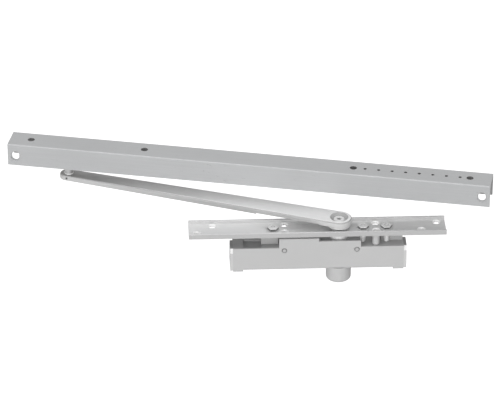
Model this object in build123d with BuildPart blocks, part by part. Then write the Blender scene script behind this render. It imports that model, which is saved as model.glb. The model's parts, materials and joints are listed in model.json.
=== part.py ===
from build123d import *
import os
from math import acos, cos, degrees, pi, radians, sin, sqrt, tan

# Concealed door closer: a closer body under a shallow mounting plate, a lever arm, and a track
# that a slide block on the arm's end runs in. Millimetres. X runs along the closer body, Y to its
# rear, Z up along the spindle. The origin is on the spindle axis, where the round boss meets the
# underside of the case. The rest pose is a door opened about twelve degrees.

os.makedirs("parts", exist_ok=True)

# Fits and clearances
running_gap = 0.05
slip_gap = 0.1
overrun = 1.0

# Case and cylinder block
case_left = 119.2
case_right = 72.2
case_depth = 28.0
case_height = 28.0
case_sheet = 2.0
case_bend = 2.2
bore_radius = 9.25
bore_height = 13.6

# Raised front of the case, up to the mounting plate
raised_left = 67.5
raised_right = 24.0
raised_top = 39.7
notch_left = 23.0
notch_top = 35.8

# Feet under the ends of the case
foot_length_left = 11.4
foot_length_right = 11.7
foot_drop = 2.3

# Pins that hold the cylinder block in the case
case_pin_radius = 2.8
case_pin_places = (-61.7, 19.6)
case_pin_height = 24.8
case_pin_length = 7.0
case_pin_proud = 0.5
case_pin_gap = 0.25

# Ears on the block that carry the mounting plate
plate_gap = 14.5
ear_left_start = 87.4
ear_left_end = 68.6
ear_left_front = -4.0
ear_right_start = 47.4
ear_right_end = 71.4
ear_right_front = 0.0

# Recess in the top of the block
recess_start = 107.5
recess_depth = 2.2
recess_rear = 6.0

# End caps, their seals and screws
cap_thickness_left = 3.2
cap_thickness_right = 3.2
cap_front_bevel = 1.6
cap_front_bevel_height = 5.8
cap_rear_bevel = 8.0
cap_spigot_length = 8.0
cap_socket_flats = 8.0
cap_socket_depth = 2.4
cap_screw_radius = 1.5
cap_screw_length = 12.0
cap_screw_head_radius = 2.6
cap_screw_head_height = 1.6
cap_screw_inset = 9.3
cap_screw_socket_flats = 2.0
seal_section = 1.4
hexagon = 6
sink_angle = 90

# Mounting plate
plate_left = 168.5
plate_right = 119.5
plate_width = 33.0
plate_depth = 6.2
plate_sheet = 2.6
plate_bend = 1.2
door_hole_radius = 3.3
door_sink_radius = 4.7
door_hole_pitch = 251.7
door_row_rear = 8.8
door_row_front = 6.6
door_rear_centre = -16.1
door_front_centre = -33.8
inner_hole_pitch = 102.5
inner_hole_centre = -10.0
plate_spindle_gap = 0.5

# Hexagon screws that hang the body on the plate
body_screw_places = (-74.0, 27.0, 53.2)
body_screw_radius = 3.3
body_screw_flats = 11.0
body_screw_head = 3.0
body_screw_dish = 0.7
body_screw_dish_radius = 2.5
body_screw_grip = 4.2
body_screw_ear_grip = 15.0
screw_seat_radius = 7.5
screw_seat_depth = 0.9
washer_thickness = 0.6
washer_radius = 6.2

# Round boss under the case, with the lower bearing
boss_radius = 14.15
boss_length = 19.4
boss_edge = 3.5
boss_spigot_radius = 10.0
boss_spigot_length = 3.6
bush_radius = 8.0
lower_bush_drop = 12.0
thrust_washer_thickness = 1.0

# Upper bearing cap and seal
cap_collar_radius = 9.2
cap_neck_radius = 7.9
cap_neck_height = 2.6
cap_collar_bevel = 1.9
cap_collar_top = 46.1
upper_bush_radius = 7.1
upper_bush_length = 11.4
spindle_seal_height = 2.4
spindle_seal_radius = 8.0

# Spindle and pinion
journal_radius = 6.0
pinion_teeth = 12
pinion_module = 1.0
pressure_angle = 25.0
tooth_backlash = 0.16
addendum_share = 0.9
dedendum_share = 1.15
pinion_bottom = 5.2
pinion_top = 22.0
square_flats = 8.4
square_top = 55.1

# Rack piston
piston_gap = 0.05
slot_left = 10.0
slot_right = 22.0
slot_rear = 7.3
piston_left = 24.0
piston_right = 34.0
guide_radius = 5.0
guide_length = 6.0
ball_radius = 1.6
valve_bore_radius = 2.5
valve_port_radius = 0.9
valve_bore_depth = 6.5
retainer_length = 2.5
piston_ring_place = 27.5
rack_first_tooth = -2
rack_last_tooth = 5

# Closing spring and its seat
wire_radius = 1.5
coil_radius = 6.9
spring_turns = 11
arcs_per_turn = 4
spring_seat_radius = 8.6
spring_seat_thickness = 2.5
spring_stub_radius = 5.0
spring_stub_length = 5.0
spring_end_gap = 0.1

# Regulating valves
valve_place = 41.0
valve_sleeve_radius = 4.2
valve_sleeve_bottom = 28.1
valve_sleeve_top = 41.4
valve_sleeve_edge = 1.8
valve_neck_radius = 2.2
valve_neck_depth = 3.4
valve_stem_radius = 2.1
valve_stem_bottom = 31.0
valve_needle_radius = 0.8
valve_slot_width = 0.8
valve_slot_depth = 1.0
valve_row_front = 7.9
valve_row_rear = 7.6

# Lever arm
arm_angle = 20.5
arm_length = 325.0
arm_head_radius = 14.2
arm_tip_radius = 8.6
arm_bottom = 52.3
arm_top = 58.9
arm_top_edge = 2.0
arm_bottom_edge = 1.2
hub_radius = 13.4
hub_bottom = 49.2
hub_edge = 1.0
relief_end = 94.0
relief_start = 19.0
relief_depth = 1.5
dish_radius = 10.3
dish_floor_radius = 6.8
dish_depth = 2.4

# Arm screw
arm_screw_head_radius = 6.4
arm_screw_head_height = 1.9
arm_screw_edge = 0.6
arm_screw_radius = 3.0
arm_screw_length = 14.0
arm_screw_socket_flats = 5.0
arm_screw_socket_depth = 1.6

# Stud on the arm's tip
stud_radius = 3.5
stud_inset = 2.0
stud_collar_radius = 5.5
stud_collar_height = 1.0
stud_collar_edge = 0.4
stud_spacer_radius = 4.9
stud_top = 93.6
stud_shoulder_gap = 0.1
stud_groove_radius = 2.9
stud_groove_height = 91.3
stud_groove_width = 1.0
ring_radius = 5.4
ring_opening = 4.0
set_screw_radius = 1.3
set_screw_socket_flats = 1.2
set_screw_socket_depth = 1.0

# Slide block in the track
block_length = 42.0
block_bottom = 73.2
block_height = 17.6
block_gap = 0.1
block_edge = 3.0
block_bush_radius = 5.2

# Track
track_angle = 12.4
track_length = 552.0
track_width = 30.5
track_height = 26.5
track_wall = 2.4
track_top = 97.6
track_edge = 1.5
track_inner_edge = 0.6
stud_from_track_end = 67.5
track_fixing_radius = 4.0
track_fixing_places = (24.5, 156.2)
stop_hole_radius = 1.8
stop_hole_first = 409.1
stop_hole_pitch = 15.31
stop_hole_count = 8
flange_hole_inset = 9.0
flange_hole_drop = 14.5
flange_hole_radius = 3.5
flange_slot_radius = 4.2
flange_slot_run = 2.0
flange_slot_rim = 5.4
flange_slot_step = 1.0
upright = 90

# Places worked out from the sizes above
half_depth = case_depth / 2
case_length = case_left + case_right
case_middle = (case_right - case_left) / 2
block_half = half_depth - case_sheet
plate_bottom = case_height + plate_gap
plate_top = plate_bottom + plate_depth
plate_floor = plate_bottom + plate_sheet
plate_length = plate_left + plate_right
plate_middle = (plate_right - plate_left) / 2
seat_floor = plate_floor - screw_seat_depth
piston_radius = bore_radius - piston_gap
pitch_radius = pinion_module * pinion_teeth / 2
tooth_tip_radius = pitch_radius + addendum_share * pinion_module
tooth_root_radius = pitch_radius - dedendum_share * pinion_module
base_radius = pitch_radius * cos(radians(pressure_angle))
rack_pitch = pi * pinion_module
spring_left = -case_left + cap_spigot_length + spring_seat_thickness
track_middle_to_stud = track_length / 2 - stud_from_track_end
left_cap_screws_x = -case_left - cap_thickness_left
right_cap_screws_x = case_right + cap_thickness_right


# Planes that the slanted pieces are drawn on
arm_direction = Vector(-cos(radians(arm_angle)), sin(radians(arm_angle)), 0)
track_direction = Vector(cos(radians(track_angle)), -sin(radians(track_angle)), 0)
track_normal = Vector(sin(radians(track_angle)), cos(radians(track_angle)), 0)
stud_place = arm_direction * (arm_length - stud_inset)
track_place = stud_place + track_direction * track_middle_to_stud


def arm_plane(height):
    return Plane(origin=(0, 0, height), x_dir=arm_direction, z_dir=(0, 0, 1))


def set_screw_plane(reach):
    # Across the arm's tip, facing its front edge
    middle = Plane(
        origin=(stud_place.X, stud_place.Y, (arm_top + arm_bottom) / 2),
        x_dir=arm_direction,
        z_dir=Vector(0, 0, 1).cross(arm_direction),
    )
    return middle.offset(reach)


def stud_plane(height):
    return Plane(origin=(stud_place.X, stud_place.Y, height), x_dir=track_direction, z_dir=(0, 0, 1))


def track_plane(height):
    return Plane(origin=(track_place.X, track_place.Y, height), x_dir=track_direction, z_dir=(0, 0, 1))


def finish(piece, name):
    piece.part.label = name
    export_step(piece.part, "parts/" + name + ".step")


# Case: one folded sheet, open at the top, with the raised front that hides the gap
with BuildPart() as case_shell:
    with BuildSketch(Plane.YZ.offset(-case_left)):
        with Locations((0, raised_top / 2)):
            outer = Rectangle(case_depth, raised_top)
        fillet(outer.vertices().group_by(Axis.Y)[0], radius=case_bend)
        with Locations((0, (raised_top + overrun + case_sheet) / 2)):
            Rectangle(case_depth - 2 * case_sheet, raised_top + overrun - case_sheet, mode=Mode.SUBTRACT)
    extrude(amount=case_length)
    with BuildSketch(Plane.XZ.offset(-half_depth - overrun)):
        with Locations((case_middle, (case_height + raised_top + overrun) / 2)):
            Rectangle(case_length + 2 * overrun, raised_top + overrun - case_height)
    extrude(amount=case_sheet + 2 * overrun, mode=Mode.SUBTRACT)
    with BuildSketch(Plane.XZ.offset(half_depth + overrun)):
        with BuildLine():
            Polyline(
                (-case_left - overrun, case_height),
                (-raised_left, case_height),
                (-raised_left, raised_top),
                (-notch_left, raised_top),
                (-notch_left, notch_top),
                (raised_right, notch_top),
                (raised_right, case_height),
                (case_right + overrun, case_height),
                (case_right + overrun, raised_top + overrun),
                (-case_left - overrun, raised_top + overrun),
                close=True,
            )
        make_face()
    extrude(amount=-case_sheet - 2 * overrun, mode=Mode.SUBTRACT)
    for start, end in ((-case_left, -case_left + foot_length_left), (case_right - foot_length_right, case_right)):
        with BuildSketch(Plane.YZ.offset(start)):
            with Locations((0, (case_bend - foot_drop) / 2)):
                foot = Rectangle(case_depth, case_bend + foot_drop)
            fillet(foot.vertices().group_by(Axis.Y)[0], radius=foot_drop)
        extrude(amount=end - start)
    with BuildSketch(Plane.YZ.offset(-case_left)):
        with Locations((0, case_height / 2)):
            Rectangle(case_depth - 2 * case_sheet, case_height - 2 * case_sheet)
    extrude(amount=case_length, mode=Mode.SUBTRACT)
    with BuildSketch(Plane.XY.offset(-overrun)):
        Circle(boss_spigot_radius + slip_gap)
    extrude(amount=case_sheet + 2 * overrun, mode=Mode.SUBTRACT)
    with BuildSketch(Plane.XZ.offset(half_depth + overrun)):
        with Locations(*[(x, case_pin_height) for x in case_pin_places]):
            Circle(case_pin_radius + case_pin_gap)
    extrude(amount=-case_sheet - 2 * overrun, mode=Mode.SUBTRACT)
finish(case_shell, "case_shell")

# Cylinder block: the pressure casting with the ears that carry the plate
with BuildPart() as cylinder_block:
    with BuildSketch(Plane.XY.offset(case_sheet)):
        with Locations((case_middle, 0)):
            Rectangle(case_length, 2 * block_half)
    extrude(amount=case_height - case_sheet)
    with BuildSketch(Plane.XY.offset(case_height)):
        with Locations((-(ear_left_start + ear_left_end) / 2, (block_half + ear_left_front) / 2)):
            Rectangle(ear_left_start - ear_left_end, block_half - ear_left_front)
        with Locations(((ear_right_start + ear_right_end) / 2, (block_half + ear_right_front) / 2)):
            Rectangle(ear_right_end - ear_right_start, block_half - ear_right_front)
    extrude(amount=plate_gap)
    with BuildSketch(Plane.YZ.offset(-case_left - overrun)):
        with Locations((0, bore_height)):
            Circle(bore_radius)
    extrude(amount=case_length + 2 * overrun, mode=Mode.SUBTRACT)
    with BuildSketch(Plane.XY.offset(case_sheet - overrun)):
        Circle(bush_radius + slip_gap)
    extrude(amount=case_height + overrun, mode=Mode.SUBTRACT)
    with BuildSketch(Plane.XY.offset(case_sheet - overrun)):
        Circle(boss_spigot_radius + slip_gap)
    extrude(amount=boss_spigot_length - case_sheet + slip_gap + overrun, mode=Mode.SUBTRACT)
    with BuildSketch(Plane.XY.offset(case_height - recess_depth)):
        with BuildLine():
            Polyline(
                (-recess_start, -block_half - overrun),
                (-ear_left_start, -block_half - overrun),
                (-ear_left_start, recess_rear),
                (-recess_start, recess_rear),
                close=True,
            )
        make_face()
    extrude(amount=recess_depth + overrun, mode=Mode.SUBTRACT)
    with Locations(*[(x, 0, plate_bottom) for x in body_screw_places]):
        Hole(body_screw_radius + slip_gap, depth=plate_gap + body_screw_grip + slip_gap)
    with Locations((valve_place, -valve_row_front, case_height), (valve_place, valve_row_rear, case_height)):
        Hole(valve_neck_radius + running_gap, depth=valve_neck_depth + slip_gap)
        Hole(valve_port_radius, depth=case_height - bore_height)
    with BuildSketch(Plane.XZ.offset(block_half + overrun)):
        with Locations(*[(x, case_pin_height) for x in case_pin_places]):
            Circle(case_pin_radius + running_gap)
    extrude(amount=-case_pin_length - overrun, mode=Mode.SUBTRACT)
    for x, into in ((-case_left, 1), (case_right, -1)):
        with BuildSketch(Plane.YZ.offset(x - into * overrun)):
            with Locations((0, bore_height)):
                with GridLocations(2 * cap_screw_inset, 2 * cap_screw_inset, 2, 2):
                    Circle(cap_screw_radius + running_gap)
        extrude(amount=into * (cap_screw_length + overrun), mode=Mode.SUBTRACT)
finish(cylinder_block, "cylinder_block")

# Pins through the front of the case into the block
with BuildPart() as case_pins:
    with BuildSketch(Plane.XZ.offset(half_depth + case_pin_proud)):
        with Locations(*[(x, case_pin_height) for x in case_pin_places]):
            Circle(case_pin_radius)
    extrude(amount=-(case_pin_length + case_sheet + case_pin_proud))
    chamfer(case_pins.faces().group_by(Axis.Y)[0].edges(), length=case_pin_proud)
finish(case_pins, "case_pins")


def end_cap_outline():
    # The cap is as high and deep as the case, bevelled at its upper edges
    Polyline(
        (-half_depth, 0),
        (half_depth, 0),
        (half_depth, case_height - cap_rear_bevel),
        (half_depth - cap_rear_bevel, case_height),
        (-half_depth + cap_front_bevel, case_height),
        (-half_depth, case_height - cap_front_bevel_height),
        close=True,
    )


def cap_screw_spots():
    return [
        (side_y * cap_screw_inset, bore_height + side_z * cap_screw_inset)
        for side_y in (-1, 1)
        for side_z in (-1, 1)
    ]


# End caps: bevelled plates with a spigot and a seal groove in the bore
with BuildPart() as left_end_cap:
    with BuildSketch(Plane.YZ.offset(-case_left - cap_thickness_left)):
        with BuildLine():
            end_cap_outline()
        make_face()
    extrude(amount=cap_thickness_left)
    with BuildSketch(Plane.YZ.offset(-case_left)):
        with Locations((0, bore_height)):
            Circle(bore_radius - running_gap)
    extrude(amount=cap_spigot_length)
    with BuildSketch(Plane.YZ.offset(-case_left + cap_spigot_length / 2 - seal_section)):
        with Locations((0, bore_height)):
            Circle(bore_radius)
            Circle(bore_radius - seal_section, mode=Mode.SUBTRACT)
    extrude(amount=2 * seal_section, mode=Mode.SUBTRACT)
    with BuildSketch(Plane.YZ.offset(-case_left - cap_thickness_left)):
        with Locations((0, bore_height)):
            RegularPolygon(cap_socket_flats / 2, hexagon, major_radius=False)
    extrude(amount=cap_socket_depth, mode=Mode.SUBTRACT)
    with BuildSketch(Plane.YZ.offset(left_cap_screws_x)):
        with Locations(*cap_screw_spots()):
            Circle(cap_screw_radius + slip_gap)
    extrude(amount=cap_thickness_left, mode=Mode.SUBTRACT)
    with BuildSketch(Plane.YZ.offset(left_cap_screws_x)):
        with Locations(*cap_screw_spots()):
            Circle(cap_screw_head_radius + slip_gap)
    extrude(amount=cap_screw_head_height, mode=Mode.SUBTRACT)
finish(left_end_cap, "left_end_cap")

with BuildPart() as right_end_cap:
    with BuildSketch(Plane.YZ.offset(case_right)):
        with BuildLine():
            end_cap_outline()
        make_face()
    extrude(amount=cap_thickness_right)
    with BuildSketch(Plane.YZ.offset(case_right - cap_spigot_length)):
        with Locations((0, bore_height)):
            Circle(bore_radius - running_gap)
    extrude(amount=cap_spigot_length)
    with BuildSketch(Plane.YZ.offset(case_right - cap_spigot_length / 2 - seal_section)):
        with Locations((0, bore_height)):
            Circle(bore_radius)
            Circle(bore_radius - seal_section, mode=Mode.SUBTRACT)
    extrude(amount=2 * seal_section, mode=Mode.SUBTRACT)
    with BuildSketch(Plane.YZ.offset(right_cap_screws_x)):
        with Locations((0, bore_height)):
            RegularPolygon(cap_socket_flats / 2, hexagon, major_radius=False)
    extrude(amount=-cap_socket_depth, mode=Mode.SUBTRACT)
    with BuildSketch(Plane.YZ.offset(right_cap_screws_x)):
        with Locations(*cap_screw_spots()):
            Circle(cap_screw_radius + slip_gap)
    extrude(amount=-cap_thickness_right, mode=Mode.SUBTRACT)
    with BuildSketch(Plane.YZ.offset(right_cap_screws_x)):
        with Locations(*cap_screw_spots()):
            Circle(cap_screw_head_radius + slip_gap)
    extrude(amount=-cap_screw_head_height, mode=Mode.SUBTRACT)
finish(right_end_cap, "right_end_cap")

# Socket screws of both end caps
with BuildPart() as end_cap_screws:
    for face_x, into in ((left_cap_screws_x, 1), (right_cap_screws_x, -1)):
        with BuildSketch(Plane.YZ.offset(face_x)):
            with Locations(*cap_screw_spots()):
                Circle(cap_screw_head_radius)
        extrude(amount=into * cap_screw_head_height)
        with BuildSketch(Plane.YZ.offset(face_x)):
            with Locations(*cap_screw_spots()):
                Circle(cap_screw_radius)
        extrude(amount=into * cap_screw_length)
        with BuildSketch(Plane.YZ.offset(face_x)):
            with Locations(*cap_screw_spots()):
                RegularPolygon(cap_screw_socket_flats / 2, hexagon, major_radius=False)
        extrude(amount=into * cap_screw_head_height / 2, mode=Mode.SUBTRACT)
finish(end_cap_screws, "end_cap_screws")

# Seals in the grooves of the end caps
with BuildPart() as left_cap_seal:
    with BuildSketch(Plane.YZ.offset(-case_left + cap_spigot_length / 2 - seal_section / 2)):
        with Locations((0, bore_height)):
            Circle(bore_radius - running_gap)
            Circle(bore_radius - seal_section + running_gap, mode=Mode.SUBTRACT)
    extrude(amount=seal_section)
finish(left_cap_seal, "left_cap_seal")

with BuildPart() as right_cap_seal:
    with BuildSketch(Plane.YZ.offset(case_right - cap_spigot_length / 2 - seal_section / 2)):
        with Locations((0, bore_height)):
            Circle(bore_radius - running_gap)
            Circle(bore_radius - seal_section + running_gap, mode=Mode.SUBTRACT)
    extrude(amount=seal_section)
finish(right_cap_seal, "right_cap_seal")

# Mounting plate: a shallow channel with its edges turned up
with BuildPart() as mounting_plate:
    with BuildSketch(Plane.YZ.offset(-plate_left)):
        with Locations((0, (plate_top + plate_bottom) / 2)):
            channel = Rectangle(plate_width, plate_depth)
        fillet(channel.vertices().group_by(Axis.Y)[0], radius=plate_bend)
        with Locations((0, (plate_top + plate_floor + overrun) / 2)):
            Rectangle(plate_width - 2 * plate_sheet, plate_top + overrun - plate_floor, mode=Mode.SUBTRACT)
    extrude(amount=plate_length)
    with Locations(
        (door_rear_centre - door_hole_pitch / 2, door_row_rear, plate_floor),
        (door_rear_centre + door_hole_pitch / 2, door_row_rear, plate_floor),
        (door_front_centre - door_hole_pitch / 2, -door_row_front, plate_floor),
        (door_front_centre + door_hole_pitch / 2, -door_row_front, plate_floor),
        (inner_hole_centre - inner_hole_pitch / 2, door_row_rear, plate_floor),
        (inner_hole_centre + inner_hole_pitch / 2, door_row_rear, plate_floor),
        (inner_hole_centre - inner_hole_pitch / 2, -door_row_front, plate_floor),
        (inner_hole_centre + inner_hole_pitch / 2, -door_row_front, plate_floor),
    ):
        CounterSinkHole(door_hole_radius, door_sink_radius, depth=plate_sheet + overrun, counter_sink_angle=sink_angle)
    with Locations(*[(x, 0, plate_floor) for x in body_screw_places]):
        CounterBoreHole(
            body_screw_radius + slip_gap, screw_seat_radius, screw_seat_depth, depth=plate_sheet + overrun
        )
    with BuildSketch(Plane.XY.offset(plate_bottom - overrun)):
        Circle(cap_collar_radius + plate_spindle_gap)
    extrude(amount=plate_sheet + 2 * overrun, mode=Mode.SUBTRACT)
finish(mounting_plate, "mounting_plate")

# Spring washers and hexagon screws that hang the body on the plate
with BuildPart() as body_screw_washers:
    with BuildSketch(Plane.XY.offset(seat_floor)):
        with Locations(*[(x, 0) for x in body_screw_places]):
            Circle(washer_radius)
            Circle(body_screw_radius + slip_gap, mode=Mode.SUBTRACT)
    extrude(amount=washer_thickness)
finish(body_screw_washers, "body_screw_washers")

head_seat = seat_floor + washer_thickness
with BuildPart() as body_screws:
    with BuildSketch(Plane.XY.offset(head_seat)):
        with Locations(*[(x, 0) for x in body_screw_places]):
            RegularPolygon(body_screw_flats / 2, hexagon, major_radius=False)
    extrude(amount=body_screw_head)
    chamfer(body_screws.faces().group_by(Axis.Z)[-1].edges(), length=body_screw_dish / 2)
    with BuildSketch(Plane.XY.offset(head_seat + body_screw_head - body_screw_dish)):
        with Locations(*[(x, 0) for x in body_screw_places]):
            Circle(body_screw_dish_radius)
    extrude(amount=body_screw_dish, mode=Mode.SUBTRACT)
    with BuildSketch(Plane.XY.offset(case_height - body_screw_grip)):
        with Locations(*[(x, 0) for x in body_screw_places]):
            Circle(body_screw_radius)
    extrude(amount=head_seat - case_height + body_screw_grip)
finish(body_screws, "body_screws")

# Round boss below the case with the lower bearing inside
with BuildPart() as spindle_boss:
    with BuildSketch(Plane.XY.offset(-boss_length)):
        Circle(boss_radius)
    extrude(amount=boss_length)
    fillet(spindle_boss.faces().sort_by(Axis.Z)[0].edges(), radius=boss_edge)
    with BuildSketch(Plane.XY):
        Circle(boss_spigot_radius)
    extrude(amount=boss_spigot_length)
    with BuildSketch(Plane.XY.offset(-lower_bush_drop - thrust_washer_thickness)):
        Circle(bush_radius)
    extrude(amount=lower_bush_drop + thrust_washer_thickness + boss_spigot_length, mode=Mode.SUBTRACT)
finish(spindle_boss, "spindle_boss")

with BuildPart() as thrust_washer:
    with BuildSketch(Plane.XY.offset(-lower_bush_drop - thrust_washer_thickness)):
        Circle(bush_radius - running_gap)
    extrude(amount=thrust_washer_thickness)
finish(thrust_washer, "thrust_washer")

with BuildPart() as lower_bush:
    with BuildSketch(Plane.XY.offset(-lower_bush_drop)):
        Circle(bush_radius - running_gap)
        Circle(journal_radius + running_gap, mode=Mode.SUBTRACT)
    extrude(amount=lower_bush_drop + boss_spigot_length)
finish(lower_bush, "lower_bush")

# Upper bearing cap: a collar that rises through the plate round the spindle
upper_bush_bottom = bore_height + bore_radius - slip_gap
neck_top = case_height + cap_neck_height
with BuildPart() as upper_bearing_cap:
    with BuildSketch(Plane.XY.offset(neck_top)):
        Circle(cap_collar_radius)
    extrude(amount=cap_collar_top - neck_top)
    chamfer(upper_bearing_cap.faces().sort_by(Axis.Z)[0].edges(), length=cap_collar_bevel)
    with BuildSketch(Plane.XY.offset(upper_bush_bottom)):
        Circle(cap_neck_radius)
    extrude(amount=neck_top - upper_bush_bottom)
    with BuildSketch(Plane.XY.offset(upper_bush_bottom)):
        Circle(journal_radius + slip_gap)
    extrude(amount=cap_collar_top - upper_bush_bottom, mode=Mode.SUBTRACT)
    with BuildSketch(Plane.XY.offset(upper_bush_bottom)):
        Circle(upper_bush_radius)
    extrude(amount=upper_bush_length, mode=Mode.SUBTRACT)
    with BuildSketch(Plane.XY.offset(cap_collar_top - spindle_seal_height)):
        Circle(spindle_seal_radius)
    extrude(amount=spindle_seal_height, mode=Mode.SUBTRACT)
finish(upper_bearing_cap, "upper_bearing_cap")

with BuildPart() as upper_bush:
    with BuildSketch(Plane.XY.offset(upper_bush_bottom)):
        Circle(upper_bush_radius - running_gap)
        Circle(journal_radius + running_gap, mode=Mode.SUBTRACT)
    extrude(amount=upper_bush_length - running_gap)
finish(upper_bush, "upper_bush")

with BuildPart() as spindle_seal:
    with BuildSketch(Plane.XY.offset(cap_collar_top - spindle_seal_height + running_gap)):
        Circle(spindle_seal_radius - running_gap)
        Circle(journal_radius + running_gap, mode=Mode.SUBTRACT)
    extrude(amount=spindle_seal_height - 2 * running_gap)
finish(spindle_seal, "spindle_seal")


def involute(angle):
    return tan(angle) - angle


def flank_point(radius, thickness, side):
    # Where a tooth flank crosses the given radius, for a tooth centred on the X axis
    slope = acos(min(1, base_radius / radius))
    half_angle = thickness / (2 * pitch_radius) + involute(radians(pressure_angle)) - involute(slope)
    return (radius * cos(half_angle), side * radius * sin(half_angle))


# One pinion tooth, with involute flanks down to the base circle and straight roots below it
tooth_thickness = rack_pitch / 2 - tooth_backlash
flank_steps = 4
flank_radii = [
    base_radius + (tooth_tip_radius - base_radius) * step / flank_steps for step in range(flank_steps + 1)
]
upper_flank = [flank_point(radius, tooth_thickness, 1) for radius in flank_radii]
lower_flank = [flank_point(radius, tooth_thickness, -1) for radius in flank_radii]
root_share = tooth_root_radius / base_radius
root_depth_share = root_share * root_share
with BuildSketch(Plane.XY) as tooth_profile:
    with BuildLine():
        Line((upper_flank[0][0] * root_depth_share, upper_flank[0][1] * root_share), upper_flank[0])
        Spline(*upper_flank)
        Line(upper_flank[-1], lower_flank[-1])
        Spline(*reversed(lower_flank))
        Line(lower_flank[0], (lower_flank[0][0] * root_depth_share, lower_flank[0][1] * root_share))
        Line(
            (lower_flank[0][0] * root_depth_share, lower_flank[0][1] * root_share),
            (upper_flank[0][0] * root_depth_share, upper_flank[0][1] * root_share),
        )
    make_face()

# Spindle with its pinion; one tooth points to the rack at rest
with BuildPart() as pinion_spindle:
    with BuildSketch(Plane.XY.offset(-lower_bush_drop + running_gap)):
        Circle(journal_radius)
    extrude(amount=pinion_bottom + lower_bush_drop - running_gap)
    with BuildSketch(Plane.XY.offset(pinion_bottom)):
        Circle(tooth_root_radius)
        with PolarLocations(0, pinion_teeth):
            add(tooth_profile.sketch)
    extrude(amount=pinion_top - pinion_bottom)
    with BuildSketch(Plane.XY.offset(pinion_top)):
        Circle(journal_radius)
    extrude(amount=cap_collar_top - pinion_top)
    with BuildSketch(arm_plane(cap_collar_top)):
        Rectangle(square_flats, square_flats)
    extrude(amount=square_top - cap_collar_top)
    with BuildSketch(Plane.XY.offset(square_top)):
        Circle(arm_screw_radius + running_gap)
    extrude(amount=-arm_screw_length - slip_gap, mode=Mode.SUBTRACT)
finish(pinion_spindle, "pinion_spindle")


def rack_points():
    # The toothed front wall of the piston's slot, from right to left
    root_line = -pitch_radius - dedendum_share * pinion_module
    tip_line = -pitch_radius + addendum_share * pinion_module
    half_pitch_width = (rack_pitch / 2 - tooth_backlash) / 2
    half_tip = half_pitch_width - addendum_share * pinion_module * tan(radians(pressure_angle))
    half_root = half_pitch_width + dedendum_share * pinion_module * tan(radians(pressure_angle))
    points = []
    for tooth in range(rack_last_tooth, rack_first_tooth - 1, -1):
        middle = rack_pitch * (tooth + 1 / 2)
        points += [(middle + half_root, root_line), (middle + half_tip, tip_line)]
        points += [(middle - half_tip, tip_line), (middle - half_root, root_line)]
    return [(slot_right, root_line)] + points + [(-slot_left, root_line)]


# Rack piston: a cylinder with a slot for the pinion and rack teeth on the slot's front wall
with BuildPart() as rack_piston:
    with BuildSketch(Plane.YZ.offset(-piston_left)):
        with Locations((0, bore_height)):
            Circle(piston_radius)
    extrude(amount=piston_left + piston_right)
    with BuildSketch(Plane.YZ.offset(-piston_left - guide_length)):
        with Locations((0, bore_height)):
            Circle(guide_radius)
    extrude(amount=guide_length)
    with BuildSketch(Plane.XY.offset(bore_height - piston_radius - overrun)):
        with BuildLine():
            Polyline((slot_right, slot_rear), *rack_points(), (-slot_left, slot_rear), close=True)
        make_face()
    extrude(amount=2 * piston_radius + 2 * overrun, mode=Mode.SUBTRACT)
    with BuildSketch(Plane.YZ.offset(piston_right)):
        with Locations((0, bore_height)):
            Circle(valve_bore_radius)
    extrude(amount=-valve_bore_depth, mode=Mode.SUBTRACT)
    with BuildSketch(Plane.YZ.offset(piston_right)):
        with Locations((0, bore_height)):
            Circle(valve_port_radius)
    extrude(amount=slot_right - piston_right, mode=Mode.SUBTRACT)
    with BuildSketch(Plane.YZ.offset(piston_ring_place - seal_section)):
        with Locations((0, bore_height)):
            Circle(bore_radius)
            Circle(piston_radius - seal_section, mode=Mode.SUBTRACT)
    extrude(amount=2 * seal_section, mode=Mode.SUBTRACT)
finish(rack_piston, "rack_piston")

with BuildPart() as piston_ring:
    with BuildSketch(Plane.YZ.offset(piston_ring_place - seal_section / 2)):
        with Locations((0, bore_height)):
            Circle(piston_radius)
            Circle(piston_radius - seal_section + running_gap, mode=Mode.SUBTRACT)
    extrude(amount=seal_section)
finish(piston_ring, "piston_ring")

# Check valve in the piston: a ball held by a drilled retainer
with BuildPart() as check_ball:
    with BuildSketch(Plane.XZ) as ball_half:
        with BuildLine():
            CenterArc((piston_right - valve_bore_depth + ball_radius, bore_height), ball_radius, 0, 180)
            Line(
                (piston_right - valve_bore_depth, bore_height),
                (piston_right - valve_bore_depth + 2 * ball_radius, bore_height),
            )
        make_face()
    revolve(axis=Axis((0, 0, bore_height), (1, 0, 0)))
finish(check_ball, "check_ball")

with BuildPart() as ball_retainer:
    with BuildSketch(Plane.YZ.offset(piston_right - retainer_length)):
        with Locations((0, bore_height)):
            Circle(valve_bore_radius - running_gap)
            Circle(valve_port_radius, mode=Mode.SUBTRACT)
    extrude(amount=retainer_length)
finish(ball_retainer, "ball_retainer")

# Spring seat against the left end cap
with BuildPart() as spring_seat:
    with BuildSketch(Plane.YZ.offset(spring_left - spring_seat_thickness)):
        with Locations((0, bore_height)):
            Circle(spring_seat_radius)
    extrude(amount=spring_seat_thickness)
    with BuildSketch(Plane.YZ.offset(spring_left)):
        with Locations((0, bore_height)):
            Circle(spring_stub_radius)
    extrude(amount=spring_stub_length)
finish(spring_seat, "spring_seat")

# Closing spring: one wire wound on biarcs, quarter turn by quarter turn
spring_start = spring_left + wire_radius + spring_end_gap
spring_end = -piston_left - wire_radius - spring_end_gap
spring_rise = (spring_end - spring_start) / spring_turns


def coil_point(turn):
    angle = 2 * pi * turn
    return Vector(
        spring_start + spring_rise * turn,
        coil_radius * cos(angle),
        bore_height + coil_radius * sin(angle),
    )


def coil_tangent(turn):
    angle = 2 * pi * turn
    return Vector(
        spring_rise,
        -2 * pi * coil_radius * sin(angle),
        2 * pi * coil_radius * cos(angle),
    ).normalized()


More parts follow.
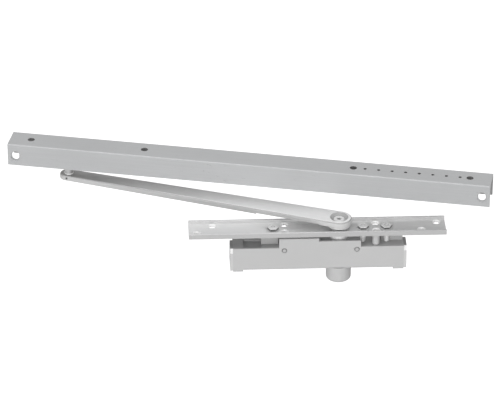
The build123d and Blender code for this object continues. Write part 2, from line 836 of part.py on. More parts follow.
def biarc(start, end):
    # Two arcs, tangent to the helix at both ends and to each other
    first, last = coil_point(start), coil_point(end)
    leave, arrive = coil_tangent(start), coil_tangent(end)
    chord = last - first
    along = chord.dot(leave + arrive)
    spread = 2 * (1 - leave.dot(arrive))
    reach = (-along + sqrt(along * along + spread * chord.dot(chord))) / spread
    before = first + leave * reach
    after = last - arrive * reach
    middle = (before + after) * (1 / 2)
    TangentArc(first, middle, tangent=leave)
    TangentArc(middle, last, tangent=after - before)


def coil_gap():
    # Least gap of the wire to its own next turn, measured on points
    steps = 8 * arcs_per_turn
    nearest = min(
        (coil_point(0) - coil_point(1 + shift / steps)).length for shift in range(-steps // 2, steps // 2 + 1)
    )
    return nearest - 2 * wire_radius


print("closing spring, least gap to itself:", round(coil_gap(), 2))
with BuildPart() as closing_spring:
    with BuildLine() as coil:
        for step in range(spring_turns * arcs_per_turn):
            biarc(step / arcs_per_turn, (step + 1) / arcs_per_turn)
    with BuildSketch(Plane(origin=coil_point(0), z_dir=coil_tangent(0))):
        Circle(wire_radius)
    sweep(path=coil.wires()[0])
finish(closing_spring, "closing_spring")


# Regulating valves: threaded sleeves on slim necks, and the needles that turn in them
neck_bottom = case_height - valve_neck_depth
stem_seat = valve_stem_bottom - running_gap
for valve_name, valve_y in (("closing_valve", -valve_row_front), ("latching_valve", valve_row_rear)):
    with BuildPart() as valve_sleeve:
        with BuildSketch(Plane.XY.offset(valve_sleeve_bottom)):
            with Locations((valve_place, valve_y)):
                Circle(valve_sleeve_radius)
        extrude(amount=valve_sleeve_top - valve_sleeve_bottom)
        fillet(valve_sleeve.faces().sort_by(Axis.Z)[0].edges(), radius=valve_sleeve_edge)
        with BuildSketch(Plane.XY.offset(neck_bottom)):
            with Locations((valve_place, valve_y)):
                Circle(valve_neck_radius)
        extrude(amount=valve_sleeve_bottom - neck_bottom)
        with BuildSketch(Plane.XY.offset(stem_seat)):
            with Locations((valve_place, valve_y)):
                Circle(valve_stem_radius + running_gap)
        extrude(amount=valve_sleeve_top - stem_seat, mode=Mode.SUBTRACT)
        with BuildSketch(Plane.XY.offset(neck_bottom)):
            with Locations((valve_place, valve_y)):
                Circle(valve_needle_radius + running_gap)
        extrude(amount=valve_stem_bottom - neck_bottom, mode=Mode.SUBTRACT)
    finish(valve_sleeve, valve_name + "_sleeve")

    with BuildPart() as valve_stem:
        with BuildSketch(Plane.XY.offset(neck_bottom)):
            with Locations((valve_place, valve_y)):
                Circle(valve_needle_radius)
        extrude(amount=valve_stem_bottom - neck_bottom)
        with BuildSketch(Plane.XY.offset(valve_stem_bottom)):
            with Locations((valve_place, valve_y)):
                Circle(valve_stem_radius)
        extrude(amount=valve_sleeve_top - valve_stem_bottom)
        with BuildSketch(Plane.XY.offset(valve_sleeve_top)):
            with Locations((valve_place, valve_y)):
                Rectangle(valve_slot_width, 2 * valve_stem_radius + overrun)
        extrude(amount=-valve_slot_depth, mode=Mode.SUBTRACT)
    finish(valve_stem, valve_name + "_stem")

# Lever arm: a tapered forging with a deeper hub over the spindle and a dish round its screw
with BuildPart() as lever_arm:
    with BuildSketch(arm_plane(arm_bottom)):
        Circle(arm_head_radius)
        with Locations((arm_length, 0)):
            Circle(arm_tip_radius)
        make_hull()
    extrude(amount=arm_top - arm_bottom)
    fillet(lever_arm.faces().sort_by(Axis.Z)[-1].edges(), radius=arm_top_edge)
    fillet(lever_arm.faces().sort_by(Axis.Z)[0].edges(), radius=arm_bottom_edge)
    with BuildSketch(arm_plane(arm_bottom - overrun)):
        with Locations(((relief_start + relief_end) / 2, 0)):
            Rectangle(relief_end - relief_start, 2 * (arm_head_radius + overrun))
    extrude(amount=relief_depth + overrun, mode=Mode.SUBTRACT)
    with BuildSketch(arm_plane(hub_bottom)):
        Circle(hub_radius)
    extrude(amount=arm_bottom + arm_bottom_edge - hub_bottom)
    fillet(lever_arm.faces().sort_by(Axis.Z)[0].edges(), radius=hub_edge)
    with BuildSketch(arm_plane(hub_bottom)):
        Rectangle(square_flats + 2 * running_gap, square_flats + 2 * running_gap)
    extrude(amount=arm_top - hub_bottom, mode=Mode.SUBTRACT)
    with BuildSketch(arm_plane(square_top)):
        Circle(arm_screw_head_radius + slip_gap)
    extrude(amount=arm_top - square_top, mode=Mode.SUBTRACT)
    with BuildSketch(arm_plane(arm_top - dish_depth)):
        Circle(dish_floor_radius)
    with BuildSketch(arm_plane(arm_top)):
        Circle(dish_radius)
    loft(mode=Mode.SUBTRACT)
    with BuildSketch(arm_plane(arm_bottom - overrun)):
        with Locations((arm_length - stud_inset, 0)):
            Circle(stud_radius + running_gap)
    extrude(amount=arm_top - arm_bottom + 2 * overrun, mode=Mode.SUBTRACT)
    with BuildSketch(set_screw_plane(0)):
        Circle(set_screw_radius + running_gap)
    extrude(amount=arm_tip_radius + overrun, mode=Mode.SUBTRACT)
finish(lever_arm, "lever_arm")

# Screw that draws the arm down on the spindle's square
with BuildPart() as arm_screw:
    with BuildSketch(arm_plane(square_top + running_gap)):
        Circle(arm_screw_head_radius)
    extrude(amount=arm_screw_head_height)
    chamfer(arm_screw.faces().sort_by(Axis.Z)[-1].edges(), length=arm_screw_edge)
    with BuildSketch(arm_plane(square_top + running_gap)):
        Circle(arm_screw_radius)
    extrude(amount=-arm_screw_length)
    with BuildSketch(arm_plane(square_top + running_gap + arm_screw_head_height)):
        RegularPolygon(arm_screw_socket_flats / 2, hexagon, major_radius=False)
    extrude(amount=-arm_screw_socket_depth, mode=Mode.SUBTRACT)
finish(arm_screw, "arm_screw")

# Stud on the arm's tip, its set screw, and the ring that keeps the slide block on
with BuildPart() as arm_stud:
    with BuildSketch(stud_plane(arm_bottom)):
        Circle(stud_radius)
    extrude(amount=stud_top - arm_bottom)
    with BuildSketch(stud_plane(arm_top)):
        Circle(stud_collar_radius)
    extrude(amount=stud_collar_height)
    chamfer(
        arm_stud.edges().filter_by(GeomType.CIRCLE).group_by(SortBy.RADIUS)[-1].sort_by(Axis.Z)[-1],
        length=stud_collar_edge,
    )
    with BuildSketch(stud_plane(arm_top)):
        Circle(stud_spacer_radius)
    extrude(amount=block_bottom - stud_shoulder_gap - arm_top)
    with BuildSketch(stud_plane(stud_groove_height)):
        Circle(stud_radius + overrun)
        Circle(stud_groove_radius, mode=Mode.SUBTRACT)
    extrude(amount=stud_groove_width, mode=Mode.SUBTRACT)
finish(arm_stud, "arm_stud")

with BuildPart() as stud_set_screw:
    with BuildSketch(set_screw_plane(stud_radius + running_gap)):
        Circle(set_screw_radius)
    extrude(amount=arm_tip_radius - stud_radius - set_screw_radius)
    with BuildSketch(set_screw_plane(arm_tip_radius - set_screw_radius + running_gap)):
        RegularPolygon(set_screw_socket_flats / 2, hexagon, major_radius=False)
    extrude(amount=-set_screw_socket_depth, mode=Mode.SUBTRACT)
finish(stud_set_screw, "stud_set_screw")

with BuildPart() as stud_ring:
    with BuildSketch(stud_plane(stud_groove_height + running_gap)):
        Circle(ring_radius)
        Circle(stud_groove_radius + running_gap, mode=Mode.SUBTRACT)
        with Locations((ring_radius / 2, 0)):
            Rectangle(ring_radius + overrun, ring_opening, mode=Mode.SUBTRACT)
    extrude(amount=stud_groove_width - 2 * running_gap)
finish(stud_ring, "stud_ring")

# Slide block that runs in the track and turns on the stud
block_width = track_width - 2 * track_wall - 2 * block_gap
with BuildPart() as slide_block:
    with BuildSketch(stud_plane(block_bottom)):
        RectangleRounded(block_length, block_width, block_edge)
        Circle(block_bush_radius, mode=Mode.SUBTRACT)
    extrude(amount=block_height)
finish(slide_block, "slide_block")

with BuildPart() as block_bush:
    with BuildSketch(stud_plane(block_bottom)):
        Circle(block_bush_radius - running_gap)
        Circle(stud_radius + running_gap, mode=Mode.SUBTRACT)
    extrude(amount=block_height)
finish(block_bush, "block_bush")

# Track: a channel open downwards, drilled for its fixings and for an adjustable stop
track_end = Plane(
    origin=(
        track_place.X - track_direction.X * track_length / 2,
        track_place.Y - track_direction.Y * track_length / 2,
        track_top - track_height,
    ),
    x_dir=track_normal,
    z_dir=track_direction,
)
half_track = track_length / 2
with BuildPart() as track_channel:
    with BuildSketch(track_end):
        with Locations((0, track_height / 2)):
            outside = Rectangle(track_width, track_height)
        fillet(outside.vertices().group_by(Axis.Y)[-1], radius=track_edge)
        with BuildSketch(mode=Mode.SUBTRACT):
            with Locations((0, (track_height - track_wall - overrun) / 2)):
                inside = Rectangle(track_width - 2 * track_wall, track_height - track_wall + overrun)
            fillet(inside.vertices().group_by(Axis.Y)[-1], radius=track_inner_edge)
    extrude(amount=track_length)
    with BuildSketch(track_plane(track_top)):
        with Locations(*[(side * (half_track - place), 0) for place in track_fixing_places for side in (-1, 1)]):
            Circle(track_fixing_radius)
        with Locations(
            *[(stop_hole_first - half_track + stop_hole_pitch * hole, 0) for hole in range(stop_hole_count)]
        ):
            Circle(stop_hole_radius)
    extrude(amount=-track_wall - overrun, mode=Mode.SUBTRACT)
    # Screw holes in the rear wall, with upright stepped slots for the driver opposite them
    for side in (-1, 1):
        middle = track_place + track_direction * side * (half_track - flange_hole_inset)
        rear = middle + track_normal * track_width / 2
        rear_plane = Plane(
            origin=(rear.X, rear.Y, track_top - flange_hole_drop), x_dir=track_direction, z_dir=track_normal
        )
        with Locations(rear_plane):
            Hole(flange_hole_radius, depth=track_wall + overrun)
        front = middle - track_normal * track_width / 2
        front_plane = Plane(
            origin=(front.X, front.Y, track_top - flange_hole_drop), x_dir=track_direction, z_dir=-track_normal
        )
        for slot_radius, slot_depth in (
            (flange_slot_radius, track_wall + overrun),
            (flange_slot_rim, flange_slot_step),
        ):
            with BuildSketch(front_plane):
                SlotCenterToCenter(flange_slot_run, 2 * slot_radius, rotation=upright)
            extrude(amount=-slot_depth, mode=Mode.SUBTRACT)
finish(track_channel, "track_channel")
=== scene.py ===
import json
import math

import bmesh
import bpy
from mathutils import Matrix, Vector

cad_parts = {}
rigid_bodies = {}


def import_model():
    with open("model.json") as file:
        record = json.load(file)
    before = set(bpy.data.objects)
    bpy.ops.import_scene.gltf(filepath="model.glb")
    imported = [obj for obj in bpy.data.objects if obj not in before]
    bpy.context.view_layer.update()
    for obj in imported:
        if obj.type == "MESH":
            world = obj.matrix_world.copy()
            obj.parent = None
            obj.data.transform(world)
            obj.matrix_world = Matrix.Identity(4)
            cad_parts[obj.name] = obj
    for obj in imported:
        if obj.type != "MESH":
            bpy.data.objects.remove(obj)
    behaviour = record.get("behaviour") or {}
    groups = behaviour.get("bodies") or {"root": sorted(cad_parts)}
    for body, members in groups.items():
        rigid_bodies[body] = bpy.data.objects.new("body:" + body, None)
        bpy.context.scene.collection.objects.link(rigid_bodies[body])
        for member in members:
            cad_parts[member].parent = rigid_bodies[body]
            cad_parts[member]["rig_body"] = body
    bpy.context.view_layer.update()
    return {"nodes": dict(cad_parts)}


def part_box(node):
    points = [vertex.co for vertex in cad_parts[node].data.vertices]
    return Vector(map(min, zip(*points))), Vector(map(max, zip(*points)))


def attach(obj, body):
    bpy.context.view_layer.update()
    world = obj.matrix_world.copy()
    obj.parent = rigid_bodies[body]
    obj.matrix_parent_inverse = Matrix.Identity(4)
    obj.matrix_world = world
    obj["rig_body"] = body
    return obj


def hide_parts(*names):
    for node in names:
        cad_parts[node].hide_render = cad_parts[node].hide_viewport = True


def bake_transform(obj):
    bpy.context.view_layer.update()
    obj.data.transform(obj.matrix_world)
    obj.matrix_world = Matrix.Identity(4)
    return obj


# Looks of the concealed door closer: metres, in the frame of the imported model.

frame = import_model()

mm = 0.001
track_turn = math.radians(-12.4)
arm_turn = math.radians(180 - 20.5)


# Materials: shader nodes

def grey(level, warmth=0.0):
    # A neutral tone, linear; warmth tints it a little towards yellow
    return (level * (1 + warmth), level, level * (1 - warmth), 1.0)


white = grey(1.0)
black = grey(0.0)


def ramp(tree, source, stops):
    node = tree.nodes.new("ShaderNodeValToRGB")
    elements = node.color_ramp.elements
    while len(elements) < len(stops):
        elements.new(0.5)
    for element, (place, colour) in zip(elements, stops):
        element.position = place
        element.color = colour
    tree.links.new(source, node.inputs["Fac"])
    return node.outputs["Color"]


def two_tone(tree, source, step, low, high):
    return ramp(tree, source, [(step[0], low), (step[1], high)])


def noise(tree, vector, pattern):
    scale, detail, rough = pattern
    node = tree.nodes.new("ShaderNodeTexNoise")
    node.inputs["Scale"].default_value = scale
    node.inputs["Detail"].default_value = detail
    node.inputs["Roughness"].default_value = rough
    tree.links.new(vector, node.inputs["Vector"])
    return node.outputs["Fac"]


def mapped(tree, turn=0.0, stretch=(1.0, 1.0, 1.0)):
    # Object coordinates turned about Z, then stretched, so that streaks follow the piece
    coordinates = tree.nodes.new("ShaderNodeTexCoord")
    turned = tree.nodes.new("ShaderNodeMapping")
    turned.inputs["Rotation"].default_value = (0.0, 0.0, -turn)
    stretched = tree.nodes.new("ShaderNodeMapping")
    stretched.inputs["Scale"].default_value = stretch
    tree.links.new(coordinates.outputs["Object"], turned.inputs["Vector"])
    tree.links.new(turned.outputs["Vector"], stretched.inputs["Vector"])
    return stretched.outputs["Vector"]


def blend_colour(tree, factor, first, second, mode="MIX"):
    node = tree.nodes.new("ShaderNodeMix")
    node.data_type = "RGBA"
    node.blend_type = mode
    for value, index in ((factor, 0), (first, 6), (second, 7)):
        socket = node.inputs[index]
        if isinstance(value, (float, tuple)):
            socket.default_value = value
        else:
            tree.links.new(value, socket)
    return node.outputs[2]


def spread(tree, source, low, high):
    node = tree.nodes.new("ShaderNodeMapRange")
    node.inputs["To Min"].default_value = low
    node.inputs["To Max"].default_value = high
    tree.links.new(source, node.inputs["Value"])
    return node.outputs["Result"]


def bump(tree, source, distance, strength, normal):
    node = tree.nodes.new("ShaderNodeBump")
    node.inputs["Distance"].default_value = distance
    node.inputs["Strength"].default_value = strength
    tree.links.new(source, node.inputs["Height"])
    if normal is not None:
        tree.links.new(normal, node.inputs["Normal"])
    return node.outputs["Normal"]


# Noise patterns: waves per metre, detail, roughness
cloud_pattern = (14.0, 4.0, 0.55)
gloss_pattern = (45.0, 5.0, 0.6)
streak_pattern = (1.0, 3.0, 0.6)
cast_pattern = (900.0, 4.0, 0.65)
speck_pattern = (420.0, 6.0, 0.8)
patch_pattern = (22.0, 2.0, 0.5)

# Where a pattern goes from its low tone to its high one
soft_step = (0.30, 0.70)
speck_step = (0.66, 0.72)
patch_step = (0.46, 0.62)

gloss_swing = 0.05
streak_tones = (0.965, 1.02)
cast_strength = 0.6
speck_stretch = (0.4, 1.0, 1.0)
speck_tone = 0.62
bend_samples = 6


# Painted shade: the colour darkened along x by the listed shares of its tone
def painted_shade_along_x(tree, vector, colour, painted_shade):
    start, end = painted_shade[0][0], painted_shade[-1][0]
    parts = tree.nodes.new("ShaderNodeSeparateXYZ")
    tree.links.new(vector, parts.inputs["Vector"])
    place = tree.nodes.new("ShaderNodeMapRange")
    place.inputs["From Min"].default_value = start
    place.inputs["From Max"].default_value = end
    tree.links.new(parts.outputs["X"], place.inputs["Value"])
    falling = ramp(tree, place.outputs["Result"], [
        ((x - start) / (end - start), grey(share)) for x, share in painted_shade
    ])
    return blend_colour(tree, 1.0, colour, falling, "MULTIPLY")


def specked(tree, vector, turn, colour, specks, dark):
    marks = noise(tree, mapped(tree, turn, speck_stretch), speck_pattern)
    mask = two_tone(tree, marks, [place - specks for place in speck_step], black, white)
    patches = two_tone(tree, noise(tree, vector, patch_pattern), patch_step, black, white)
    both = blend_colour(tree, 1.0, mask, patches, "MULTIPLY")
    return blend_colour(tree, both, colour, dark)


def surface(name, tone, metallic, rough, warmth=0.0, turn=0.0, grain=None, mottle=0.03,
            pits=0.0, specks=0.0, painted_shade=None, rounding=0.0):
    """A metal, paint or plastic surface.

    grain is (scale along, scale across, depth) of the streaks left by drawing or grinding,
    mottle the soft change of tone over the piece, pits the depth of a fine cast or sprayed
    texture, specks the share of small dark marks, the list of (x, share of the tone) the
    painted shade, a slow darkening along the piece, and rounding the radius that its bends are shaded
    with.
    """
    material = bpy.data.materials.new(name)
    material.use_nodes = True
    tree = material.node_tree
    shader = tree.nodes["Principled BSDF"]
    shader.inputs["Metallic"].default_value = metallic

    plain = mapped(tree)
    dark, light = grey(tone * (1 - mottle), warmth), grey(tone * (1 + mottle), warmth)
    colour = two_tone(tree, noise(tree, plain, cloud_pattern), soft_step, dark, light)
    gloss = noise(tree, plain, gloss_pattern)
    roughness = spread(tree, gloss, rough - gloss_swing, rough + gloss_swing)
    # Painted shade along x, where a list is given
    if painted_shade:
        colour = painted_shade_along_x(tree, plain, colour, painted_shade)
    normal = None
    if rounding:
        rounded = tree.nodes.new("ShaderNodeBevel")
        rounded.samples = bend_samples
        rounded.inputs["Radius"].default_value = rounding
        normal = rounded.outputs["Normal"]
    if grain:
        along, across, depth = grain
        lines = noise(tree, mapped(tree, turn, (along, across, across)), streak_pattern)
        low, high = streak_tones
        fine = two_tone(tree, lines, soft_step, grey(low), grey(high))
        colour = blend_colour(tree, 1.0, colour, fine, "MULTIPLY")
        normal = bump(tree, lines, depth, 1.0, normal)
    if pits:
        normal = bump(tree, noise(tree, plain, cast_pattern), pits, cast_strength, normal)
    if specks:
        colour = specked(tree, plain, turn, colour, specks, grey(tone * speck_tone, warmth))
    tree.links.new(colour, shader.inputs["Base Color"])
    tree.links.new(roughness, shader.inputs["Roughness"])
    if normal is not None:
        tree.links.new(normal, shader.inputs["Normal"])
    return material


# Materials: the surfaces

# Streaks: scale along, scale across, depth
drawn_track = (12.0, 1400.0, 0.000004)
rolled_plate = (30.0, 900.0, 0.000012)
rolled_front = (30.0, 900.0, 0.000008)
ground_arm = (16.0, 700.0, 0.000005)
ground_side = (16.0, 700.0, 0.000006)
machined_ear = (600.0, 900.0, 0.00001)
turned_boss = (500.0, 1800.0, 0.000006)
turned_steel = (500.0, 2400.0, 0.000006)
turned_sleeve = (600.0, 2400.0, 0.000006)
turned_hard = (300.0, 1800.0, 0.000008)
drawn_wire = (900.0, 900.0, 0.00001)

# Depth of the texture of paint, castings and plated or pressed metal
painted = 0.00002
painted_cap = 0.00003
cast = 0.00006
plated = 0.00001
moulded = 0.00002

# Painted shade: slow darkening along the piece where less light falls on it; place along x, share of
# the tone
block_painted_shade = ((0.0, 0.79), (0.05, 1.0))
plate_painted_shade = ((-0.05, 1.0), (0.06, 0.88))
arm_side_painted_shade = ((-0.30, 0.88), (-0.16, 0.70), (-0.035, 0.70), (-0.015, 0.98))
arm_top_painted_shade = ((-0.30, 0.40), (-0.257, 0.67), (-0.22, 0.82), (-0.157, 0.90), (-0.09, 1.0))

plate_bend = 1.2 * mm

# Each row: name, tone, metallic, rough
materials = {
    "case": surface("case_paint", 0.555, 0.30, 0.50, pits=painted, mottle=0.02),
    "case_edge": surface("case_paint_edge", 0.60, 0.35, 0.42, mottle=0.06),
    # Painted shade: the block casting darker towards negative x
    "block": surface("block_casting", 0.48, 0.30, 0.60, pits=cast, mottle=0.06, painted_shade=block_painted_shade),
    "block_edge": surface("block_casting_edge", 0.46, 0.35, 0.50, mottle=0.08),
    "ear": surface("machined_ear", 0.48, 0.35, 0.42, grain=machined_ear, mottle=0.04),
    "caps": surface("cap_paint", 0.61, 0.30, 0.48, pits=painted_cap, mottle=0.03),
    "cap_top": surface("cap_top_shade", 0.30, 0.30, 0.50, pits=painted_cap, mottle=0.05),
    "boss": surface("boss_turned", 0.57, 0.35, 0.44, grain=turned_boss, mottle=0.03),
    "boss_edge": surface("boss_turned_edge", 0.66, 0.35, 0.40, mottle=0.04),
    "caps_edge": surface("cap_paint_edge", 0.58, 0.35, 0.40, mottle=0.06),
    # Painted highlight: the caps' front bevels in a bright copy of their paint
    "cap_bevel": surface("cap_bevel_painted_highlight", 0.84, 0.20, 0.35, mottle=0.02),
    # Painted shade: the plate darker along x to the right, where the arm shades it
    "plate": surface("plate_zinc", 0.92, 0.60, 0.36, grain=rolled_plate, mottle=0.03,
                     painted_shade=plate_painted_shade, rounding=plate_bend),
    # Painted shade: the plate's outer front face in a darker copy of its zinc
    "plate_front_painted_shade": surface("plate_front_painted_shade", 0.60, 0.50, 0.40, grain=rolled_front, mottle=0.02),
    # Painted shade: the plate's broken edges in a darker copy of its zinc
    "plate_edge": surface("plate_edge_painted_shade", 0.60, 0.50, 0.36, mottle=0.05),
    "plate_inside": surface("plate_flange_shade", 0.72, 0.60, 0.38, mottle=0.05, rounding=plate_bend),
    # Painted highlight: the walls of the plate's holes made near white
    "hole_wall_highlight": surface("hole_wall_painted_highlight", 0.95, 0.10, 0.40, mottle=0.02),
    "track": surface("track_anodised", 0.565, 0.50, 0.44, warmth=-0.012, turn=track_turn,
                     grain=drawn_track, mottle=0.02, specks=0.05),
    # Painted highlight: the track's broken edges in a bright copy of its colour
    "track_edge": surface("track_edge_painted_highlight", 0.97, 0.70, 0.30, turn=track_turn, mottle=0.05),
    "track_inside_painted_shade": surface("track_inside_painted_shade", 0.44, 0.50, 0.50, turn=track_turn, grain=drawn_track,
                            mottle=0.04),
    "dark_hole": surface("hole_wall_shade", 0.22, 0.30, 0.60, mottle=0.10),
    # Painted shade: the arm's sides darker along x, most between x -0.16 and -0.035
    "arm": surface("arm_side", 0.72, 0.45, 0.42, turn=arm_turn, grain=ground_side, mottle=0.03,
                   painted_shade=arm_side_painted_shade),
    # Painted light and shade: the arm's level top in a lighter copy of its colour, a painted sheen,
    # darkened along x towards the tip under the track
    "arm_top": surface("arm_top_painted_sheen", 0.97, 0.45, 0.36, turn=arm_turn, grain=ground_arm,
                       mottle=0.02, painted_shade=arm_top_painted_shade),
    # Painted shade: the arm's broken edges and rounded faces in darker copies of its colour
    "arm_edge": surface("arm_edge", 0.48, 0.35, 0.45, mottle=0.04),
    "arm_round": surface("arm_rounded_painted_shade", 0.45, 0.30, 0.50, turn=arm_turn, grain=ground_arm,
                         mottle=0.03),
    "dish": surface("arm_dish_floor", 0.50, 0.45, 0.40, mottle=0.05),
    "steel": surface("turned_steel", 0.62, 0.60, 0.32, grain=turned_steel, mottle=0.04),
    # Painted highlight: the broken edges of the turned steel parts near white
    "steel_edge": surface("turned_steel_edge_painted_highlight", 0.90, 0.45, 0.28, mottle=0.04),
    # Painted highlight: the stud's rim near white
    "stud_rim": surface("stud_rim_painted_highlight", 0.96, 0.20, 0.30, mottle=0.02),
    "sleeve": surface("sleeve_steel", 0.62, 0.45, 0.36, grain=turned_sleeve, mottle=0.04),
    # Painted highlight: the bearing cap, and the screw's socket in the arm, near white
    "collar": surface("collar_painted_highlight", 0.92, 0.30, 0.34, grain=turned_sleeve, mottle=0.03),
    "zinc": surface("screw_zinc", 0.90, 0.45, 0.32, mottle=0.06, pits=plated),
    "zinc_edge": surface("screw_zinc_edge", 0.84, 0.60, 0.28, mottle=0.06),
    # Painted shade: the upright sides of the screw heads nearly black
    "zinc_side_painted_shade": surface("screw_side_painted_shade", 0.24, 0.60, 0.40, mottle=0.08),
    "pin": surface("pin_steel", 0.58, 0.50, 0.40, mottle=0.06, pits=plated),
    # Painted shade: a dark ring on the pins' broken edges
    "pin_edge": surface("pin_edge_painted_shade", 0.32, 0.50, 0.45, mottle=0.08),
    "hard": surface("hard_steel", 0.40, 0.85, 0.34, grain=turned_hard, mottle=0.05),
    "bronze": surface("sintered_bronze", 0.42, 0.80, 0.42, warmth=0.32, pits=moulded, mottle=0.06),
    "nylon": surface("nylon_block", 0.74, 0.0, 0.52, warmth=0.03, pits=moulded, mottle=0.03),
    "rubber": surface("black_rubber", 0.035, 0.0, 0.62, pits=moulded, mottle=0.10),
    "spring": surface("spring_wire", 0.22, 0.80, 0.36, grain=drawn_wire, mottle=0.06),
}


# Dressing: every node gets its material, and the ones that show get real broken edges

weld = 0.002 * mm
flat_angle = math.radians(0.4)
edge_segments = 2


def assign(node, material):
    mesh = frame["nodes"][node].data
    mesh.materials.clear()
    mesh.materials.append(materials[material])


def welded(node):
    # The node's mesh with its doubled corners joined
    shape = bmesh.new()
    shape.from_mesh(frame["nodes"][node].data)
    bmesh.ops.remove_doubles(shape, verts=shape.verts, dist=weld)
    return shape


def cleaned(node):
    # The node's mesh as n-gons: its flat triangles dissolved
    shape = welded(node)
    bmesh.ops.dissolve_limit(
        shape, angle_limit=flat_angle, verts=shape.verts, edges=shape.edges, delimit=set()
    )
    return shape


def broken_edges(shape, width, sharp):
    edges = [
        edge for edge in shape.edges
        if len(edge.link_faces) == 2 and edge.calc_face_angle(0.0) > math.radians(sharp)
    ]
    bmesh.ops.bevel(
        shape, geom=edges, offset=width, offset_type="OFFSET", segments=edge_segments, profile=0.5,
        affect="EDGES", clamp_overlap=True, material=1,
    )


def make_piece(name, shape, body, slots, replaces, smooth=35.0):
    mesh = bpy.data.meshes.new(name)
    shape.to_mesh(mesh)
    shape.free()
    for slot in slots:
        mesh.materials.append(materials[slot])
    mesh.polygons.foreach_set("use_smooth", [True] * len(mesh.polygons))
    mesh.set_sharp_from_angle(angle=math.radians(smooth))
    piece = bpy.data.objects.new(name, mesh)
    bpy.context.scene.collection.objects.link(piece)
    weighted = piece.modifiers.new("weighted", "WEIGHTED_NORMAL")
    weighted.keep_sharp = True
    if body:
        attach(piece, body)
    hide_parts(replaces)
    return piece


def body_of(node):
    return frame["nodes"][node]["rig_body"]


def dress(node, material, width, sharp=32.0, edge=None, more=()):
    # more is a list of (material, test of a face) for faces that have a look of their own
    shape = cleaned(node)
    broken_edges(shape, width * mm, sharp)
    slots = [material, edge or material + "_edge"]
    for extra, test in more:
        slots.append(extra)
        for face in shape.faces:
            if test(face):
                face.material_index = len(slots) - 1
    make_piece(node + "_dressed", shape, body_of(node), slots, node)


plain_nodes = {
    "cylinder_block": "block",
    "case_pins": "zinc",
    "end_cap_screws": "hard",
    "left_cap_seal": "rubber",
    "right_cap_seal": "rubber",
    "body_screws": "zinc",
    "body_screw_washers": "zinc",
    "thrust_washer": "hard",
    "lower_bush": "bronze",
    "upper_bearing_cap": "steel",
    "upper_bush": "bronze",
    "spindle_seal": "rubber",
    "spring_seat": "hard",
    "closing_spring": "spring",
    "closing_valve_sleeve": "steel",
    "latching_valve_sleeve": "steel",
    "closing_valve_stem": "bronze",
    "latching_valve_stem": "bronze",
    "pinion_spindle": "hard",
    "rack_piston": "hard",
    "piston_ring": "nylon",
    "check_ball": "hard",
    "ball_retainer": "steel",
    "arm_screw": "zinc",
    "arm_stud": "steel",
    "stud_set_screw": "hard",
    "stud_ring": "zinc",
    "slide_block": "nylon",
    "block_bush": "bronze",
    "case_shell": "case",
    "left_end_cap": "caps",
    "right_end_cap": "caps",
    "spindle_boss": "caps",
    "mounting_plate": "plate",
    "track_channel": "track",
    "lever_arm": "arm",
}
for node_name, material_name in plain_nodes.items():
    assign(node_name, material_name)


# Faces with a look of their own

# Shares of a face's normal: it looks along an axis, is level, or is upright
facing = 0.9
level = 0.5
upright = 0.3


def from_axis(point, axis=(0.0, 0.0)):
    # Distance of a point from an upright axis
    return Vector((point.x - axis[0], point.y - axis[1])).length


# Track
track_low, track_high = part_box("track_channel")
track_along = Vector((math.cos(track_turn), math.sin(track_turn), 0.0))
track_across = Vector((-track_along.y, track_along.x, 0.0))
track_middle = (track_low + track_high) / 2
track_wall = 2.4 * mm
track_half_width = 15.25 * mm
track_slack = 0.2 * mm
track_hole_slack = 0.4 * mm
track_roof = track_high.z - track_wall
# Holes in the track's top: place along it from its middle and radius, in millimetres
large_hole_radius = 4.0
small_hole_radius = 1.8
small_hole_start = 133.1
small_hole_step = 15.31
track_holes = [(place, large_hole_radius) for place in (-251.5, -119.8, 119.8, 251.5)] + [
    (small_hole_start + small_hole_step * step, small_hole_radius) for step in range(8)
]


def in_track_hole(face):
    middle = face.calc_center_median()
    if middle.z < track_roof - 0.1 * mm or abs(face.normal.z) > level:
        return False
    for place, radius in track_holes:
        hole = track_middle + track_along * place * mm
        if from_axis(middle, hole) < radius * mm + track_hole_slack:
            return True
    return False


def in_track(face):
    # The faces that look into the channel; they take a darker copy of the track's colour, painted
    # shade
    middle = face.calc_center_median()
    across = abs((middle - track_middle).dot(track_across))
    inside = across < track_half_width - track_wall + track_slack
    return inside and middle.z < track_roof + track_slack


# Mounting plate
plate_low, plate_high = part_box("mounting_plate")
plate_sheet = 2.7 * mm
plate_hole_depth = 2.5 * mm
plate_flange = 2.8 * mm
plate_end = 2.0 * mm


def in_flange(face):
    # The inner faces of the plate's two flanges
    middle = face.calc_center_median()
    in_wall = abs(face.normal.y) > facing and middle.z > plate_low.z + plate_sheet
    return in_wall and abs(middle.y) < plate_high.y - 1.0 * mm


# Faces that take the painted shade of the plate's front
def on_plate_front(face):
    return face.normal.y < -facing and face.calc_center_median().y < plate_low.y + 0.1 * mm


# The holes' walls, which take the painted highlight
def in_plate_hole(face):
    middle = face.calc_center_median()
    inside = abs(middle.y) < plate_high.y - plate_flange and middle.z < plate_low.z + plate_hole_depth
    between = plate_low.x + plate_end < middle.x < plate_high.x - plate_end
    return inside and between and abs(face.normal.z) < facing


# Body
ear_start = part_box("case_pins")[1].z + 0.6 * mm


def on_ear(face):
    return face.calc_center_median().z > ear_start and abs(face.normal.z) < facing


def on_front_bevel(face):
    return face.normal.y < -facing and face.normal.z > 0.15


def on_cap_top(face):
    return face.normal.z > 0.6 and face.normal.y > -0.1


# Arm, its stud and its screw
stud_middle = sum(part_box("stud_ring"), Vector()) / 2
stud_rim_start = 5.1 * mm
dish_radius = 10.4 * mm
dish_level = 55.0 * mm
arm_round_start = 0.25
arm_screw_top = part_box("arm_screw")[1].z
socket_reach = 4.6 * mm
socket_depth = 6.0 * mm


# Faces of the stud that take the painted highlight
def on_stud_rim(face):
    return from_axis(face.calc_center_median(), stud_middle) > stud_rim_start


